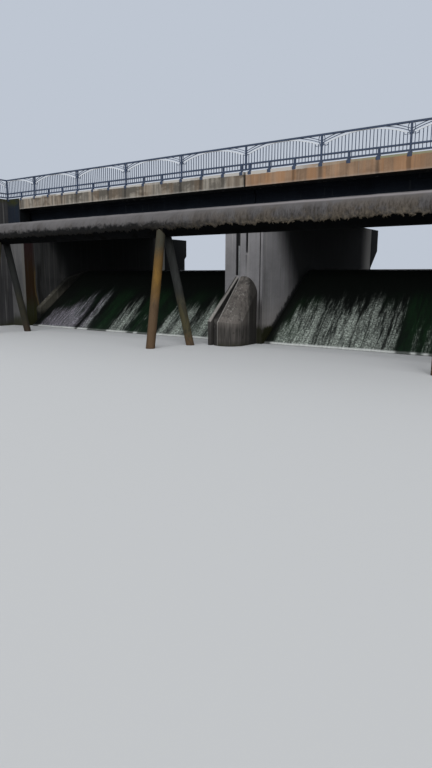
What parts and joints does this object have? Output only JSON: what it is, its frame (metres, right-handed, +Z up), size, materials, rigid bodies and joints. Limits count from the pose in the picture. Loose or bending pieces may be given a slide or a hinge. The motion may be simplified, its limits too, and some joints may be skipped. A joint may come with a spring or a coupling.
{
  "type": "overflow sluice with road bridge",
  "caption": "Overflow sluice: open bays with sloping weirs between piers, a road deck with ornamental railing above and a pipe crossing on raking legs in front.",
  "frame": {"origin": "middle of the centre pier's foot, under the middle of the deck", "axes": "+X along the bridge to the right as seen from downstream, +Y upstream, +Z up"},
  "size_m": [30, 17.8, 7.25],
  "materials": {
    "pier_concrete": "weathered, streaked",
    "cutwater_concrete": "stained, matt",
    "duct_concrete": "weathered",
    "abutment_concrete": "weathered, rust streaks",
    "wing_concrete": "weathered, streaked",
    "backwall_concrete": "dark, mossy",
    "weir_concrete": "wet, algae and lime streaks",
    "curb_concrete": "weathered",
    "slab_concrete": "rough",
    "left_beam_concrete": "stained",
    "right_beam_concrete": "ochre stained",
    "girder_concrete": "sooty, matt",
    "bearing_rubber": "matt",
    "footway_concrete": "worn",
    "road_asphalt": "worn, rough",
    "railing_paint": "satin, chalked",
    "pipe_wrap": "rough mortar wrap",
    "rusty_leg": "flaking rust",
    "grey_leg": "weathered"
  },
  "bodies": {
    "root": {"center_pier": "pier_concrete", "pier_cutwater": "cutwater_concrete", "pier_fin": "cutwater_concrete", "pier_duct": "duct_concrete", "left_abutment": "abutment_concrete", "right_abutment": "abutment_concrete", "left_backwall": "backwall_concrete", "right_backwall": "backwall_concrete", "left_wing_wall": "wing_concrete", "right_wing_wall": "wing_concrete", "left_weir": "weir_concrete", "right_weir": "weir_concrete", "left_weir_curb": "curb_concrete", "right_weir_curb": "curb_concrete", "left_deck_slab": "slab_concrete", "right_deck_slab": "slab_concrete", "downstream_left_edge_beam": "left_beam_concrete", "downstream_right_edge_beam": "right_beam_concrete", "upstream_left_edge_beam": "left_beam_concrete", "upstream_right_edge_beam": "right_beam_concrete", "left_girders": "girder_concrete", "right_girders": "girder_concrete", "left_cross_beams": "girder_concrete", "right_cross_beams": "girder_concrete", "bearings": "bearing_rubber", "left_footways": "footway_concrete", "right_footways": "footway_concrete", "left_road": "road_asphalt", "right_road": "road_asphalt", "deck_joint": "bearing_rubber", "downstream_left_railing": "railing_paint", "downstream_right_railing": "railing_paint", "upstream_left_railing": "railing_paint", "upstream_right_railing": "railing_paint", "left_return_railing": "railing_paint", "right_return_railing": "railing_paint", "crossing_pipe": "pipe_wrap", "left_trestle_front_leg": "rusty_leg", "left_trestle_back_leg": "grey_leg", "middle_trestle_front_leg": "rusty_leg", "middle_trestle_back_leg": "grey_leg", "right_trestle_front_leg": "rusty_leg", "right_trestle_back_leg": "grey_leg"}
  },
  "joints": []
}
